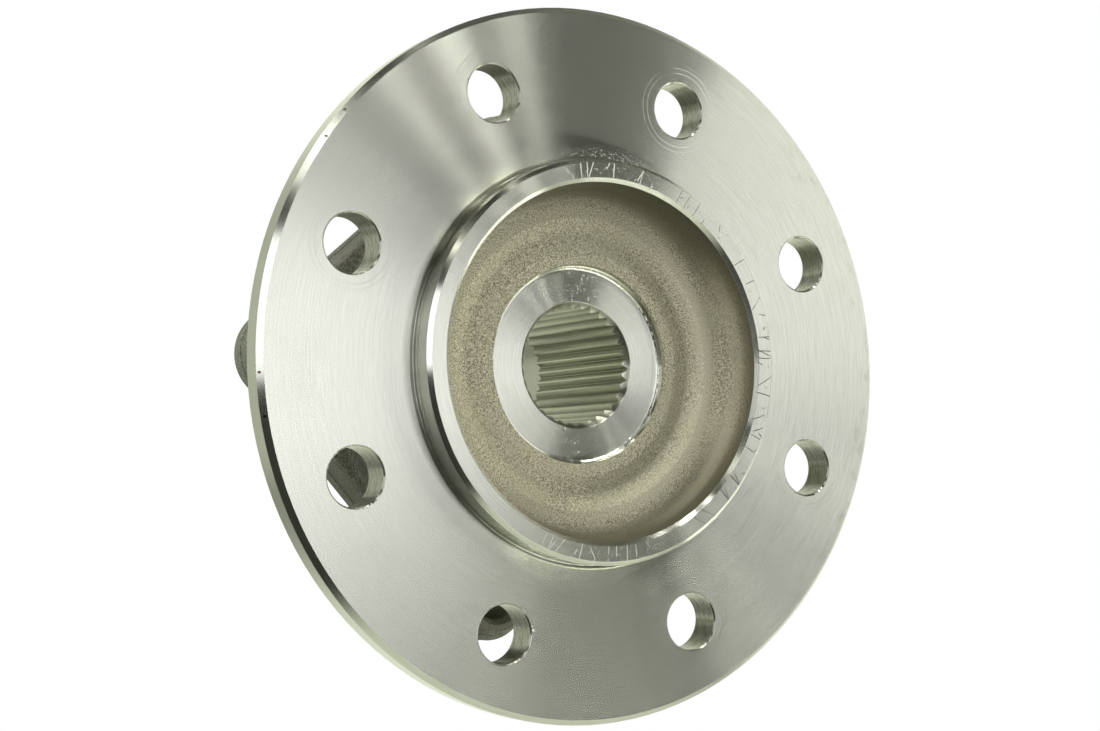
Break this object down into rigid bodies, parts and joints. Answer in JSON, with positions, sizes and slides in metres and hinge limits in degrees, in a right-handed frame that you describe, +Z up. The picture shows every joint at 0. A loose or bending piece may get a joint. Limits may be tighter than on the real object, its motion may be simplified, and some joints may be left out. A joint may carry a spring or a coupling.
{
  "type": "wheel hub bearing",
  "caption": "Flanged wheel hub turning on two rows of tapered rollers in an eared housing, with a pilot ring and a splined bore for the axle shaft.",
  "frame": {"origin": "centre of the wheel bolt circle, on the flange's wheel face", "axes": "+Y along the hub's axis towards the vehicle, +X across, +Z up; the wheel side faces -Y"},
  "size_m": [0.2078, 0.1006, 0.2078],
  "materials": {
    "hub_steel": "turned, with a blasted dish",
    "housing_iron": "cast",
    "race_steel": "ground",
    "roller_steel": "polished",
    "cage_steel": "pressed sheet",
    "seal_steel": "pressed sheet",
    "seal_rubber": "moulded"
  },
  "bodies": {
    "housing": {"bearing_housing": "housing_iron", "outboard_cup": "race_steel", "outboard_seal_case": "seal_steel", "outboard_seal_lip": "seal_rubber", "inboard_cup": "race_steel", "inboard_seal_case": "seal_steel", "inboard_seal_lip": "seal_rubber"},
    "hub": {"hub_flange": "hub_steel", "outboard_cone": "race_steel", "outboard_slinger": "seal_steel", "inboard_cone": "race_steel", "inboard_slinger": "seal_steel"},
    "outboard_cage": {"outboard_cage": "cage_steel"},
    "outboard_roller_01": {"outboard_roller_01": "roller_steel"},
    "outboard_roller_02": {"outboard_roller_02": "roller_steel"},
    "outboard_roller_03": {"outboard_roller_03": "roller_steel"},
    "outboard_roller_04": {"outboard_roller_04": "roller_steel"},
    "outboard_roller_05": {"outboard_roller_05": "roller_steel"},
    "outboard_roller_06": {"outboard_roller_06": "roller_steel"},
    "outboard_roller_07": {"outboard_roller_07": "roller_steel"},
    "outboard_roller_08": {"outboard_roller_08": "roller_steel"},
    "outboard_roller_09": {"outboard_roller_09": "roller_steel"},
    "outboard_roller_10": {"outboard_roller_10": "roller_steel"},
    "outboard_roller_11": {"outboard_roller_11": "roller_steel"},
    "outboard_roller_12": {"outboard_roller_12": "roller_steel"},
    "outboard_roller_13": {"outboard_roller_13": "roller_steel"},
    "outboard_roller_14": {"outboard_roller_14": "roller_steel"},
    "outboard_roller_15": {"outboard_roller_15": "roller_steel"},
    "outboard_roller_16": {"outboard_roller_16": "roller_steel"},
    "outboard_roller_17": {"outboard_roller_17": "roller_steel"},
    "outboard_roller_18": {"outboard_roller_18": "roller_steel"},
    "outboard_roller_19": {"outboard_roller_19": "roller_steel"},
    "outboard_roller_20": {"outboard_roller_20": "roller_steel"},
    "inboard_cage": {"inboard_cage": "cage_steel"},
    "inboard_roller_01": {"inboard_roller_01": "roller_steel"},
    "inboard_roller_02": {"inboard_roller_02": "roller_steel"},
    "inboard_roller_03": {"inboard_roller_03": "roller_steel"},
    "inboard_roller_04": {"inboard_roller_04": "roller_steel"},
    "inboard_roller_05": {"inboard_roller_05": "roller_steel"},
    "inboard_roller_06": {"inboard_roller_06": "roller_steel"},
    "inboard_roller_07": {"inboard_roller_07": "roller_steel"},
    "inboard_roller_08": {"inboard_roller_08": "roller_steel"},
    "inboard_roller_09": {"inboard_roller_09": "roller_steel"},
    "inboard_roller_10": {"inboard_roller_10": "roller_steel"},
    "inboard_roller_11": {"inboard_roller_11": "roller_steel"},
    "inboard_roller_12": {"inboard_roller_12": "roller_steel"},
    "inboard_roller_13": {"inboard_roller_13": "roller_steel"},
    "inboard_roller_14": {"inboard_roller_14": "roller_steel"},
    "inboard_roller_15": {"inboard_roller_15": "roller_steel"},
    "inboard_roller_16": {"inboard_roller_16": "roller_steel"},
    "inboard_roller_17": {"inboard_roller_17": "roller_steel"},
    "inboard_roller_18": {"inboard_roller_18": "roller_steel"},
    "inboard_roller_19": {"inboard_roller_19": "roller_steel"},
    "inboard_roller_20": {"inboard_roller_20": "roller_steel"}
  },
  "joints": [
    {"name": "hub_spin", "type": "hinge", "parent": "housing", "child": "hub", "pos_m": [0, 0.053, 0], "axis": [0, 1, 0], "continuous": true},
    {"name": "outboard_cage_orbit", "type": "hinge", "parent": "housing", "child": "outboard_cage", "pos_m": [0, 0.042, 0], "axis": [0, 1, 0], "continuous": true},
    {"name": "outboard_roller_01_spin", "type": "hinge", "parent": "outboard_cage", "child": "outboard_roller_01", "pos_m": [0.04, 0.042, 0], "axis": [-0.2079, 0.9781, 0], "continuous": true},
    {"name": "outboard_roller_02_spin", "type": "hinge", "parent": "outboard_cage", "child": "outboard_roller_02", "pos_m": [0.03804, 0.042, 0.01236], "axis": [-0.1977, 0.9781, -0.0642], "continuous": true},
    {"name": "outboard_roller_03_spin", "type": "hinge", "parent": "outboard_cage", "child": "outboard_roller_03", "pos_m": [0.03236, 0.042, 0.02351], "axis": [-0.1682, 0.9781, -0.1222], "continuous": true},
    {"name": "outboard_roller_04_spin", "type": "hinge", "parent": "outboard_cage", "child": "outboard_roller_04", "pos_m": [0.02351, 0.042, 0.03236], "axis": [-0.1222, 0.9781, -0.1682], "continuous": true},
    {"name": "outboard_roller_05_spin", "type": "hinge", "parent": "outboard_cage", "child": "outboard_roller_05", "pos_m": [0.01236, 0.042, 0.03804], "axis": [-0.0642, 0.9781, -0.1977], "continuous": true},
    {"name": "outboard_roller_06_spin", "type": "hinge", "parent": "outboard_cage", "child": "outboard_roller_06", "pos_m": [0, 0.042, 0.04], "axis": [0, 0.9781, -0.2079], "continuous": true},
    {"name": "outboard_roller_07_spin", "type": "hinge", "parent": "outboard_cage", "child": "outboard_roller_07", "pos_m": [-0.01236, 0.042, 0.03804], "axis": [0.0642, 0.9781, -0.1977], "continuous": true},
    {"name": "outboard_roller_08_spin", "type": "hinge", "parent": "outboard_cage", "child": "outboard_roller_08", "pos_m": [-0.02351, 0.042, 0.03236], "axis": [0.1222, 0.9781, -0.1682], "continuous": true},
    {"name": "outboard_roller_09_spin", "type": "hinge", "parent": "outboard_cage", "child": "outboard_roller_09", "pos_m": [-0.03236, 0.042, 0.02351], "axis": [0.1682, 0.9781, -0.1222], "continuous": true},
    {"name": "outboard_roller_10_spin", "type": "hinge", "parent": "outboard_cage", "child": "outboard_roller_10", "pos_m": [-0.03804, 0.042, 0.01236], "axis": [0.1977, 0.9781, -0.0642], "continuous": true},
    {"name": "outboard_roller_11_spin", "type": "hinge", "parent": "outboard_cage", "child": "outboard_roller_11", "pos_m": [-0.04, 0.042, 0], "axis": [0.2079, 0.9781, 0], "continuous": true},
    {"name": "outboard_roller_12_spin", "type": "hinge", "parent": "outboard_cage", "child": "outboard_roller_12", "pos_m": [-0.03804, 0.042, -0.01236], "axis": [0.1977, 0.9781, 0.0642], "continuous": true},
    {"name": "outboard_roller_13_spin", "type": "hinge", "parent": "outboard_cage", "child": "outboard_roller_13", "pos_m": [-0.03236, 0.042, -0.02351], "axis": [0.1682, 0.9781, 0.1222], "continuous": true},
    {"name": "outboard_roller_14_spin", "type": "hinge", "parent": "outboard_cage", "child": "outboard_roller_14", "pos_m": [-0.02351, 0.042, -0.03236], "axis": [0.1222, 0.9781, 0.1682], "continuous": true},
    {"name": "outboard_roller_15_spin", "type": "hinge", "parent": "outboard_cage", "child": "outboard_roller_15", "pos_m": [-0.01236, 0.042, -0.03804], "axis": [0.0642, 0.9781, 0.1977], "continuous": true},
    {"name": "outboard_roller_16_spin", "type": "hinge", "parent": "outboard_cage", "child": "outboard_roller_16", "pos_m": [0, 0.042, -0.04], "axis": [0, 0.9781, 0.2079], "continuous": true},
    {"name": "outboard_roller_17_spin", "type": "hinge", "parent": "outboard_cage", "child": "outboard_roller_17", "pos_m": [0.01236, 0.042, -0.03804], "axis": [-0.0642, 0.9781, 0.1977], "continuous": true},
    {"name": "outboard_roller_18_spin", "type": "hinge", "parent": "outboard_cage", "child": "outboard_roller_18", "pos_m": [0.02351, 0.042, -0.03236], "axis": [-0.1222, 0.9781, 0.1682], "continuous": true},
    {"name": "outboard_roller_19_spin", "type": "hinge", "parent": "outboard_cage", "child": "outboard_roller_19", "pos_m": [0.03236, 0.042, -0.02351], "axis": [-0.1682, 0.9781, 0.1222], "continuous": true},
    {"name": "outboard_roller_20_spin", "type": "hinge", "parent": "outboard_cage", "child": "outboard_roller_20", "pos_m": [0.03804, 0.042, -0.01236], "axis": [-0.1977, 0.9781, 0.0642], "continuous": true},
    {"name": "inboard_cage_orbit", "type": "hinge", "parent": "housing", "child": "inboard_cage", "pos_m": [0, 0.064, 0], "axis": [0, 1, 0], "continuous": true},
    {"name": "inboard_roller_01_spin", "type": "hinge", "parent": "inboard_cage", "child": "inboard_roller_01", "pos_m": [0.04, 0.064, 0], "axis": [0.2079, 0.9781, 0], "continuous": true},
    {"name": "inboard_roller_02_spin", "type": "hinge", "parent": "inboard_cage", "child": "inboard_roller_02", "pos_m": [0.03804, 0.064, 0.01236], "axis": [0.1977, 0.9781, 0.0642], "continuous": true},
    {"name": "inboard_roller_03_spin", "type": "hinge", "parent": "inboard_cage", "child": "inboard_roller_03", "pos_m": [0.03236, 0.064, 0.02351], "axis": [0.1682, 0.9781, 0.1222], "continuous": true},
    {"name": "inboard_roller_04_spin", "type": "hinge", "parent": "inboard_cage", "child": "inboard_roller_04", "pos_m": [0.02351, 0.064, 0.03236], "axis": [0.1222, 0.9781, 0.1682], "continuous": true},
    {"name": "inboard_roller_05_spin", "type": "hinge", "parent": "inboard_cage", "child": "inboard_roller_05", "pos_m": [0.01236, 0.064, 0.03804], "axis": [0.0642, 0.9781, 0.1977], "continuous": true},
    {"name": "inboard_roller_06_spin", "type": "hinge", "parent": "inboard_cage", "child": "inboard_roller_06", "pos_m": [0, 0.064, 0.04], "axis": [0, 0.9781, 0.2079], "continuous": true},
    {"name": "inboard_roller_07_spin", "type": "hinge", "parent": "inboard_cage", "child": "inboard_roller_07", "pos_m": [-0.01236, 0.064, 0.03804], "axis": [-0.0642, 0.9781, 0.1977], "continuous": true},
    {"name": "inboard_roller_08_spin", "type": "hinge", "parent": "inboard_cage", "child": "inboard_roller_08", "pos_m": [-0.02351, 0.064, 0.03236], "axis": [-0.1222, 0.9781, 0.1682], "continuous": true},
    {"name": "inboard_roller_09_spin", "type": "hinge", "parent": "inboard_cage", "child": "inboard_roller_09", "pos_m": [-0.03236, 0.064, 0.02351], "axis": [-0.1682, 0.9781, 0.1222], "continuous": true},
    {"name": "inboard_roller_10_spin", "type": "hinge", "parent": "inboard_cage", "child": "inboard_roller_10", "pos_m": [-0.03804, 0.064, 0.01236], "axis": [-0.1977, 0.9781, 0.0642], "continuous": true},
    {"name": "inboard_roller_11_spin", "type": "hinge", "parent": "inboard_cage", "child": "inboard_roller_11", "pos_m": [-0.04, 0.064, 0], "axis": [-0.2079, 0.9781, 0], "continuous": true},
    {"name": "inboard_roller_12_spin", "type": "hinge", "parent": "inboard_cage", "child": "inboard_roller_12", "pos_m": [-0.03804, 0.064, -0.01236], "axis": [-0.1977, 0.9781, -0.0642], "continuous": true},
    {"name": "inboard_roller_13_spin", "type": "hinge", "parent": "inboard_cage", "child": "inboard_roller_13", "pos_m": [-0.03236, 0.064, -0.02351], "axis": [-0.1682, 0.9781, -0.1222], "continuous": true},
    {"name": "inboard_roller_14_spin", "type": "hinge", "parent": "inboard_cage", "child": "inboard_roller_14", "pos_m": [-0.02351, 0.064, -0.03236], "axis": [-0.1222, 0.9781, -0.1682], "continuous": true},
    {"name": "inboard_roller_15_spin", "type": "hinge", "parent": "inboard_cage", "child": "inboard_roller_15", "pos_m": [-0.01236, 0.064, -0.03804], "axis": [-0.0642, 0.9781, -0.1977], "continuous": true},
    {"name": "inboard_roller_16_spin", "type": "hinge", "parent": "inboard_cage", "child": "inboard_roller_16", "pos_m": [0, 0.064, -0.04], "axis": [0, 0.9781, -0.2079], "continuous": true},
    {"name": "inboard_roller_17_spin", "type": "hinge", "parent": "inboard_cage", "child": "inboard_roller_17", "pos_m": [0.01236, 0.064, -0.03804], "axis": [0.0642, 0.9781, -0.1977], "continuous": true},
    {"name": "inboard_roller_18_spin", "type": "hinge", "parent": "inboard_cage", "child": "inboard_roller_18", "pos_m": [0.02351, 0.064, -0.03236], "axis": [0.1222, 0.9781, -0.1682], "continuous": true},
    {"name": "inboard_roller_19_spin", "type": "hinge", "parent": "inboard_cage", "child": "inboard_roller_19", "pos_m": [0.03236, 0.064, -0.02351], "axis": [0.1682, 0.9781, -0.1222], "continuous": true},
    {"name": "inboard_roller_20_spin", "type": "hinge", "parent": "inboard_cage", "child": "inboard_roller_20", "pos_m": [0.03804, 0.064, -0.01236], "axis": [0.1977, 0.9781, -0.0642], "continuous": true}
  ],
  "couplings": [
    {"joint": "outboard_cage_orbit", "follows": "hub_spin", "ratio": 0.44376},
    {"joint": "outboard_roller_01_spin", "follows": "hub_spin", "ratio": -4.2928},
    {"joint": "outboard_roller_02_spin", "follows": "hub_spin", "ratio": -4.2928},
    {"joint": "outboard_roller_03_spin", "follows": "hub_spin", "ratio": -4.2928},
    {"joint": "outboard_roller_04_spin", "follows": "hub_spin", "ratio": -4.2928},
    {"joint": "outboard_roller_05_spin", "follows": "hub_spin", "ratio": -4.2928},
    {"joint": "outboard_roller_06_spin", "follows": "hub_spin", "ratio": -4.2928},
    {"joint": "outboard_roller_07_spin", "follows": "hub_spin", "ratio": -4.2928},
    {"joint": "outboard_roller_08_spin", "follows": "hub_spin", "ratio": -4.2928},
    {"joint": "outboard_roller_09_spin", "follows": "hub_spin", "ratio": -4.2928},
    {"joint": "outboard_roller_10_spin", "follows": "hub_spin", "ratio": -4.2928},
    {"joint": "outboard_roller_11_spin", "follows": "hub_spin", "ratio": -4.2928},
    {"joint": "outboard_roller_12_spin", "follows": "hub_spin", "ratio": -4.2928},
    {"joint": "outboard_roller_13_spin", "follows": "hub_spin", "ratio": -4.2928},
    {"joint": "outboard_roller_14_spin", "follows": "hub_spin", "ratio": -4.2928},
    {"joint": "outboard_roller_15_spin", "follows": "hub_spin", "ratio": -4.2928},
    {"joint": "outboard_roller_16_spin", "follows": "hub_spin", "ratio": -4.2928},
    {"joint": "outboard_roller_17_spin", "follows": "hub_spin", "ratio": -4.2928},
    {"joint": "outboard_roller_18_spin", "follows": "hub_spin", "ratio": -4.2928},
    {"joint": "outboard_roller_19_spin", "follows": "hub_spin", "ratio": -4.2928},
    {"joint": "outboard_roller_20_spin", "follows": "hub_spin", "ratio": -4.2928},
    {"joint": "inboard_cage_orbit", "follows": "hub_spin", "ratio": 0.44376},
    {"joint": "inboard_roller_01_spin", "follows": "hub_spin", "ratio": -4.2928},
    {"joint": "inboard_roller_02_spin", "follows": "hub_spin", "ratio": -4.2928},
    {"joint": "inboard_roller_03_spin", "follows": "hub_spin", "ratio": -4.2928},
    {"joint": "inboard_roller_04_spin", "follows": "hub_spin", "ratio": -4.2928},
    {"joint": "inboard_roller_05_spin", "follows": "hub_spin", "ratio": -4.2928},
    {"joint": "inboard_roller_06_spin", "follows": "hub_spin", "ratio": -4.2928},
    {"joint": "inboard_roller_07_spin", "follows": "hub_spin", "ratio": -4.2928},
    {"joint": "inboard_roller_08_spin", "follows": "hub_spin", "ratio": -4.2928},
    {"joint": "inboard_roller_09_spin", "follows": "hub_spin", "ratio": -4.2928},
    {"joint": "inboard_roller_10_spin", "follows": "hub_spin", "ratio": -4.2928},
    {"joint": "inboard_roller_11_spin", "follows": "hub_spin", "ratio": -4.2928},
    {"joint": "inboard_roller_12_spin", "follows": "hub_spin", "ratio": -4.2928},
    {"joint": "inboard_roller_13_spin", "follows": "hub_spin", "ratio": -4.2928},
    {"joint": "inboard_roller_14_spin", "follows": "hub_spin", "ratio": -4.2928},
    {"joint": "inboard_roller_15_spin", "follows": "hub_spin", "ratio": -4.2928},
    {"joint": "inboard_roller_16_spin", "follows": "hub_spin", "ratio": -4.2928},
    {"joint": "inboard_roller_17_spin", "follows": "hub_spin", "ratio": -4.2928},
    {"joint": "inboard_roller_18_spin", "follows": "hub_spin", "ratio": -4.2928},
    {"joint": "inboard_roller_19_spin", "follows": "hub_spin", "ratio": -4.2928},
    {"joint": "inboard_roller_20_spin", "follows": "hub_spin", "ratio": -4.2928}
  ]
}
